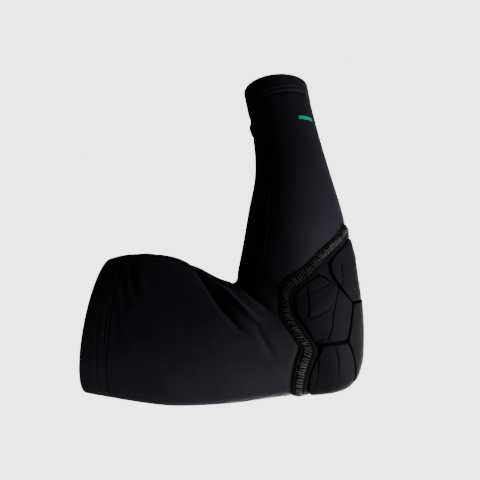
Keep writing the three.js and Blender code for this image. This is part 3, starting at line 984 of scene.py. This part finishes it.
class ARM_SLEEVE_OT_front_seam(bpy.types.Operator):
    """Build the flat seam along the front of the arm, with its stitching"""

    bl_idname = "arm_sleeve.front_seam"
    bl_label = "Front Seam"

    ROWS = 360
    UNDER_RISE = 0.05 * MM
    CLOTH_STEP = 0.5 * MM
    # Two lines of stitches, and threads that cross from one to the other, in shares of a stitch
    LINE_PLACE = 2 * MM
    LINE_RISE = 0.62 * MM
    LINE_SHARE = 0.6
    CROSS_RISE = 0.5 * MM
    CROSS_ARCH = 0.2 * MM
    CROSS_SHARE = 0.35

    def execute(self, context):
        sizes = context.scene.arm_sleeve_sizes
        colours = context.scene.arm_sleeve_colours
        rows = np.linspace(0, len(FRONT_SEAM) - 1, self.ROWS)
        self.station, degrees = through_rows(FRONT_SEAM, rows).T
        self.angle = np.radians(degrees)
        self.lengths = run_lengths(skin(self.station, self.angle, 0)[0])
        across, height = FRONT_SEAM_SECTION.T
        along = np.linspace(0, self.lengths[-1], self.ROWS)[:, None]
        top, _ = self.beside(along, across, height)
        under, _ = self.beside(along, across[::-1], np.full_like(across, self.UNDER_RISE))
        points = np.concatenate([top, under], axis=1)
        columns = points.shape[1]
        faces, corner_row, corner_column = grid_faces(self.ROWS, columns)
        ring = np.arange(columns)
        caps = np.array([ring[::-1], (self.ROWS - 1) * columns + ring])
        sides = np.stack([corner_column * self.CLOTH_STEP, self.lengths[corner_row]], axis=-1)
        cloth = np.vstack([sides.reshape(-1, 2), np.zeros((caps.size, 2))])
        finish = tape_finish("seam_strip", colours.strip)
        faces = [*faces.tolist(), *caps.tolist()]
        seam = make_piece("front_seam_strip", points, faces, finish, cloth)
        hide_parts("front_seam")
        self.stitches(sizes, colours)
        return {"FINISHED"}

    def beside(self, along, across, height):
        """Points at a length along the seam, a distance to its side and a height above the knit."""
        station = np.interp(along, self.lengths, self.station)
        angle = np.interp(along, self.lengths, self.angle)
        _, radian_length, _ = skin_directions(station, angle)
        station, offset = np.broadcast_arrays(station, across / radian_length)
        return skin(station, angle + offset, height)

    def stitches(self, sizes, colours):
        stitch, width = sizes.stitch_length, sizes.hem_thread_width
        part = np.linspace(0, 1, STITCH_POINTS)
        starts = np.arange(1, self.lengths[-1] / stitch - 2)[:, None] * stitch
        rise = self.LINE_RISE + stitch_arch(part, width, top=0.8, sunk=0.4)
        along = starts + self.LINE_SHARE * stitch * part
        lines = [self.beside(along, side * self.LINE_PLACE, rise) for side in (-1, 1)]
        rise = self.CROSS_RISE + self.CROSS_ARCH * np.sin(math.pi * part)
        along = starts + self.CROSS_SHARE * stitch * part
        crossing = self.beside(along, self.LINE_PLACE * (1 - 2 * part), rise)
        light = thread_finish("seam_thread", colours.seam_thread)
        dark = thread_finish("dark_thread", colours.dark_thread)
        thread_piece("front_seam_stitches", lines, width, light)
        thread_piece("front_seam_cross_threads", [crossing], width, dark)


class ARM_SLEEVE_OT_pad_panel(bpy.types.Operator):
    """Build the panel that carries the pad's blocks"""

    bl_idname = "arm_sleeve.pad_panel"
    bl_label = "Pad Panel"

    COLUMNS = 240
    RINGS = 36
    EDGE_GAP = 0.3 * MM

    def execute(self, context):
        sizes = context.scene.arm_sleeve_sizes
        edge = PAD.beside(PAD.steps(self.COLUMNS), -self.EDGE_GAP)
        places = np.linspace(0, 1, self.RINGS)[:, None, None] * edge
        top, _ = pad_skin(places, sizes.panel_rise)
        under, _ = pad_skin(places[::-1], -sizes.knit_wall)
        finish = foam_finish("panel_foam", context.scene.arm_sleeve_colours.panel)
        panel = grid_piece("pad_panel_sheet", np.concatenate([top, under]), finish)
        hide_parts("pad_base")
        return {"FINISHED"}


class ARM_SLEEVE_OT_pad_blocks(bpy.types.Operator):
    """Build the pad's moulded foam blocks and the low webs between them"""

    bl_idname = "arm_sleeve.pad_blocks"
    bl_label = "Pad Blocks"

    BLOCK_GRID = (96, 420)
    WEB_GRID = (40, 200)
    WALL_RINGS = 3
    UNDERSIDE_RINGS = 5
    PANEL_GAP = 0.1 * MM
    EDGE_CROWDING = 1.35
    # Height of a block's edge as a share of its crown, and how the block thins out towards the tape
    EDGE_SHARE = 0.8
    TAPE_EDGE = 5.2 * MM
    TAPE_EDGE_SHARE = 0.85
    TAPE_EDGE_REACH = 4 * MM
    TAPE_SHOULDER_SHARE = 0.6
    TAPER_SHARE = 0.55
    TAPER_REACH = 18 * MM
    # A score line's wide, shallow ease beside its groove, in shares of the groove
    SCORE_EASE = 3.2
    SCORE_EASE_DEPTH = 0.22

    def execute(self, context):
        sizes = context.scene.arm_sleeve_sizes
        across_middle = [
            ("pad_block_upper", UPPER_BLOCK, UPPER_MIDDLE, UPPER_SCORES, sizes.upper_height),
            ("pad_block_centre", CENTRE_BLOCK, CENTRE_MIDDLE, CENTRE_SCORES, sizes.centre_height),
            ("pad_block_lower", LOWER_BLOCK, LOWER_MIDDLE, LOWER_SCORES, sizes.lower_height),
        ]
        for node, half, middle, scores, height in across_middle:
            scores = side_scores(scores, 1) + side_scores(scores, -1)
            self.node_block(context, node, whole_outline(half), middle, scores, height)
        for side, end in ((1, "near"), (-1, "far")):
            mirror = np.array([1, side])
            outline, web_outline = (MM * mirror * np.array(corners) for corners in (SIDE_BLOCK, SIDE_WEB))
            self.node_block(
                context, "pad_block_side_" + end, outline, mirror * SIDE_MIDDLE,
                side_scores(SIDE_SCORES, side), sizes.side_height)
            web = self.block(
                context, "pad_web_" + end, self.WEB_GRID, web_outline, mirror * WEB_MIDDLE, [],
                sizes.web_height)
        return {"FINISHED"}

    def node_block(self, context, node, *shape):
        """A block that stands for a node of the frame."""
        block = self.block(context, node + "_foam", self.BLOCK_GRID, *shape)
        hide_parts(node)

    def block(self, context, name, grid, corners, middle, scores, crown):
        """A closed block: crowned and scored on top, rounded at its edge and flat underneath."""
        sizes = context.scene.arm_sleeve_sizes
        rows, columns = grid
        middle = MM * np.array(middle)
        outline = rounded_loop(corners, sizes.block_corner, columns)
        spread = 1 - (1 - np.linspace(0, 1, rows)) ** self.EDGE_CROWDING
        places = middle + spread[:, None, None] * (outline - middle)
        height = self.top(places.reshape(-1, 2), outline, middle, scores, crown, sizes).reshape(grid)
        base = sizes.panel_rise + self.PANEL_GAP
        wall = np.linspace(1, 0, self.WALL_RINGS + 1)[1:, None] * (height[-1] - base) + base
        wall_places = np.broadcast_to(outline, (self.WALL_RINGS, *outline.shape))
        rings = np.linspace(1, 0, self.UNDERSIDE_RINGS + 1)[1:]
        under = middle + rings[:, None, None] * (outline - middle)
        all_places = np.concatenate([places, wall_places, under])
        all_heights = np.concatenate([height, wall, np.full(under.shape[:2], base)])
        finish = foam_finish("block_foam", context.scene.arm_sleeve_colours.foam)
        return grid_piece(name, pad_skin(all_places, all_heights)[0], finish)

    def top(self, places, outline, middle, scores, crown, sizes):
        """Heights of a block's top: lower towards the tape, round at its edge and cut by score lines."""
        scale = np.array([float(pad_stretch(middle)), 1])
        flat = places * scale
        inset = distance_to_line(flat, np.vstack([outline, outline[:1]]) * scale)
        from_tape = PAD.distance(places) - self.TAPE_EDGE
        crown = crown * (1 - self.TAPER_SHARE * (1 - np.clip(from_tape / self.TAPER_REACH, 0, 1)))
        steep = np.clip(from_tape / self.TAPE_EDGE_REACH, 0, 1)
        edge = crown * (self.TAPE_EDGE_SHARE + (self.EDGE_SHARE - self.TAPE_EDGE_SHARE) * steep)
        width_share = self.TAPE_SHOULDER_SHARE + (1 - self.TAPE_SHOULDER_SHARE) * steep
        shoulder = np.clip(inset / (sizes.block_shoulder * width_share), 0, 1)
        height = edge + (crown - edge) * np.sqrt(1 - (1 - shoulder) ** 2)
        for start_along, start_around, end_along, end_around, share in scores:
            line = MM * scale * np.array([(start_along, start_around), (end_along, end_around)])
            distance = distance_to_line(flat, line) / (sizes.score_width / 2)
            ease = self.SCORE_EASE_DEPTH * np.exp(-(distance / self.SCORE_EASE) ** 2)
            height -= share * sizes.score_depth * (np.exp(-distance ** 2) + ease)
        return height


class ARM_SLEEVE_OT_pad_seam(bpy.types.Operator):
    """Build the tape sewn round the pad, with its ladder of thread"""

    bl_idname = "arm_sleeve.pad_seam"
    bl_label = "Pad Seam"

    COLUMNS = 520
    SECTION_STEPS = 42
    # The tape's underside, which steps down from the panel to the knit
    UNDER_STEP = 6
    UNDER_EDGE = 0.4 * MM
    PANEL_SIDE_UNDER = 0.55 * MM
    KNIT_SIDE_UNDER = 0.08 * MM
    # Places across the tape, in millimetres
    BED = (-1.9, 3.8)
    LADDER = (-1.1, 3.1)
    EDGE_LINES = (-1.6, 3.6)
    # How the bed, the ladder's strands and the edge lines are laid
    BED_RISE = 0.06 * MM
    BED_STEPS = 18
    LINE_SHARE = 0.85
    STRANDS = 2
    STRAND_GAP = 0.42 * MM
    THREAD_POINTS = 9
    # The most that a ladder thread leans, moves across the tape and moves along it
    LADDER_LEAN = 1.2 * MM
    LADDER_ENDS = 0.35 * MM
    LADDER_JOG = 0.3 * MM
    SEED = 7

    def execute(self, context):
        colours = context.scene.arm_sleeve_colours
        steps = np.linspace(0, len(PAD_TAPE_SECTION) - 1, self.SECTION_STEPS)
        self.across, self.height = through_rows(PAD_TAPE_SECTION, steps).T
        along = PAD.steps(self.COLUMNS)
        top, _ = pad_skin(self.places(along, self.across[:, None]), self.height[:, None])
        under_across = self.across[::-self.UNDER_STEP][:, None]
        under_height = np.where(under_across < self.UNDER_EDGE, self.PANEL_SIDE_UNDER, self.KNIT_SIDE_UNDER)
        under, _ = pad_skin(self.places(along, under_across), under_height)
        finish = tape_finish("ribbed_tape", colours.tape)
        points = np.concatenate([top, under])
        tape = grid_piece("pad_seam_tape", points, finish, wrap_rows=True)
        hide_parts("pad_seam")
        self.bed(along, colours)
        self.stitches(context.scene.arm_sleeve_sizes, colours)
        return {"FINISHED"}

    def places(self, along, across):
        """Chart places across the tape."""
        along, across = np.broadcast_arrays(along, across)
        share = tape_width_share(PAD.beside(along, np.zeros_like(along))[..., 0])
        return PAD.beside(along, np.where(across > 0, across * share, across))

    def threads(self, along, across, rise):
        """Thread paths at lengths along the seam, distances across it and heights above its tape."""
        along, across, rise = np.broadcast_arrays(along, across, rise)
        lift = np.interp(across, self.across, self.height) + rise
        return pad_skin(self.places(along, across), lift)

    def bed(self, along, colours):
        """The dark, tightly sewn strip that the ladder crosses."""
        across = MM * np.linspace(*self.BED, self.BED_STEPS)[:, None]
        top, _ = self.threads(along, across, self.BED_RISE)
        under, _ = self.threads(along, across[::-1], -self.BED_RISE)
        finish = tape_finish("sewn_bed", colours.bed)
        grid_piece("pad_seam_bed", np.concatenate([top, under]), finish, wrap_rows=True)

    def stitches(self, sizes, colours):
        """The ladder's threads, each a little out of line, and the rows of stitches along its edges."""
        rng = np.random.default_rng(self.SEED)
        count = round(PAD.length / sizes.stitch_length)
        starts = PAD.steps(count)[:, None]
        part = np.linspace(0, 1, self.THREAD_POINTS)
        first, last = MM * np.array(self.LADDER)
        rise = stitch_arch(part, sizes.thread_width, top=0.75, sunk=0.3, power=0.5)
        ladder = []
        for strand in range(self.STRANDS):
            lean, ends, jog = (
                rng.uniform(-most, most, (count, 1))
                for most in (self.LADDER_LEAN, self.LADDER_ENDS, self.LADDER_JOG))
            along = starts + strand * self.STRAND_GAP + jog + lean * part
            ladder.append(self.threads(along, first + (last - first) * part + ends, rise))
        rise = stitch_arch(part, sizes.thread_width, top=0.9, sunk=0.3, power=0.5)
        along = starts + self.LINE_SHARE * sizes.stitch_length * part
        lines = [self.threads(along, MM * place, rise) for place in self.EDGE_LINES]
        light = thread_finish("light_thread", colours.light_thread)
        dark = thread_finish("dark_thread", colours.dark_thread)
        thread_piece("pad_seam_ladder", ladder, sizes.thread_width, light)
        thread_piece("pad_seam_lines", lines, sizes.hem_thread_width, dark)


class ARM_SLEEVE_OT_wrist_print(bpy.types.Operator):
    """Build the plain stripe printed near the wrist"""

    bl_idname = "arm_sleeve.wrist_print"
    bl_label = "Wrist Print"

    STATION = 17.42
    ANGLE = 44
    THICKNESS = 0.12 * MM
    UNDER_RISE = 0.02 * MM
    COLUMNS = 96
    RINGS = 8

    def execute(self, context):
        sizes = context.scene.arm_sleeve_sizes
        half = np.array([sizes.print_length, sizes.print_width]) / 2
        corners = half * np.array([(1, -1), (1, 1), (-1, 1), (-1, -1)])
        loop = rounded_loop(corners, sizes.print_width / 2, self.COLUMNS)[::-1]
        spread = np.concatenate([np.linspace(0, 1, self.RINGS), np.linspace(1, 0, self.RINGS)])
        height = np.repeat([self.THICKNESS, self.UNDER_RISE], self.RINGS)
        angle = math.radians(self.ANGLE)
        station_length, radian_length, _ = skin_directions(np.array(self.STATION), np.array(angle))
        around = spread[:, None] * loop[:, 0] / radian_length
        along = spread[:, None] * loop[:, 1] / station_length
        points, _ = skin(self.STATION + along, angle + around, height[:, None])
        finish = print_finish(context.scene.arm_sleeve_colours.print_mark)
        grid_piece("wrist_stripe", points, finish)
        return {"FINISHED"}


OPERATORS = (
    ARM_SLEEVE_OT_stage, ARM_SLEEVE_OT_knit_tube, ARM_SLEEVE_OT_hems, ARM_SLEEVE_OT_front_seam,
    ARM_SLEEVE_OT_pad_panel, ARM_SLEEVE_OT_pad_blocks, ARM_SLEEVE_OT_pad_seam, ARM_SLEEVE_OT_wrist_print,
)


class VIEW3D_PT_arm_sleeve(bpy.types.Panel):
    """The sleeve's sizes, colours and pieces"""

    bl_label = "Padded Arm Sleeve"
    bl_space_type = "VIEW_3D"
    bl_region_type = "UI"
    bl_category = "Sleeve"

    def draw(self, context):
        for group in (context.scene.arm_sleeve_sizes, context.scene.arm_sleeve_colours):
            box = self.layout.box()
            for name in group.__annotations__:
                box.prop(group, name)
        for operator in OPERATORS:
            self.layout.operator(operator.bl_idname)


CLASSES = (SleeveSizes, SleeveColours, *OPERATORS, VIEW3D_PT_arm_sleeve)


def register():
    for cls in CLASSES:
        bpy.utils.register_class(cls)
    bpy.types.Scene.arm_sleeve_sizes = bpy.props.PointerProperty(type=SleeveSizes)
    bpy.types.Scene.arm_sleeve_colours = bpy.props.PointerProperty(type=SleeveColours)


def unregister():
    del bpy.types.Scene.arm_sleeve_colours
    del bpy.types.Scene.arm_sleeve_sizes
    for cls in reversed(CLASSES):
        bpy.utils.unregister_class(cls)


def main():
    register()
    bpy.ops.arm_sleeve.stage()
    bpy.ops.arm_sleeve.knit_tube()
    bpy.ops.arm_sleeve.hems()
    bpy.ops.arm_sleeve.front_seam()
    bpy.ops.arm_sleeve.pad_panel()
    bpy.ops.arm_sleeve.pad_blocks()
    bpy.ops.arm_sleeve.pad_seam()
    bpy.ops.arm_sleeve.wrist_print()


if __name__ == "__main__":
    main()
